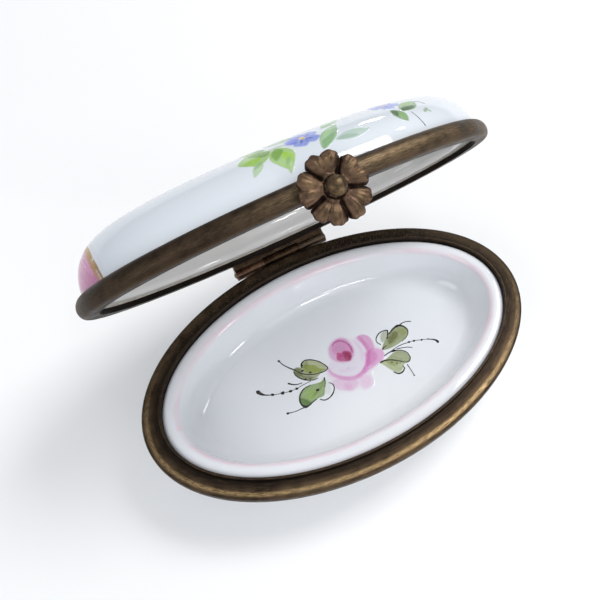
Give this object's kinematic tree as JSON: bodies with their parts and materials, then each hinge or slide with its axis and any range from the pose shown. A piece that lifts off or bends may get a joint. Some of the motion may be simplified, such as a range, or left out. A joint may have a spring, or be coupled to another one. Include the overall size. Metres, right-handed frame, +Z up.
{
  "type": "pill box",
  "caption": "Oval porcelain trinket box with brass rim mounts, back hinge, domed lid standing open and a blossom clasp.",
  "frame": {"origin": "centre of the foot ring's resting plane", "axes": "+X along the long axis, -Y towards the clasp, +Y towards the hinge, +Z up"},
  "size_m": [0.06, 0.0429, 0.0453],
  "materials": {
    "base_porcelain": "clear glaze, painted rose spray",
    "lid_porcelain": "clear glaze, painted bouquet and pink ends",
    "mount_brass": "patinated, worn bright on edges",
    "dark_brass": "dark patina",
    "hinge_brass": "patinated",
    "pin_brass": "worn",
    "clasp_brass": "patinated casting with rubbed high points",
    "bedding": "dull plaster cement"
  },
  "bodies": {
    "base": {"base_bowl": "base_porcelain", "base_bezel": "mount_brass", "base_lip_ring": "dark_brass", "base_rim_cement": "bedding", "base_hinge_knuckle": "hinge_brass"},
    "lid": {"lid_dome": "lid_porcelain", "lid_bezel": "mount_brass", "lid_rim_cement": "bedding", "lid_hinge_leaf": "hinge_brass", "lid_hinge_knuckle_left": "hinge_brass", "lid_hinge_knuckle_right": "hinge_brass", "hinge_pin": "pin_brass", "clasp_tongue": "clasp_brass", "clasp_blossom": "clasp_brass", "clasp_rivet": "clasp_brass"}
  },
  "joints": [
    {"name": "lid_hinge", "type": "hinge", "parent": "base", "child": "lid", "pos_m": [0, 0.01966, 0.00839], "axis": [-1, 0, 0], "range_deg": [-61.1, 38.9]}
  ]
}
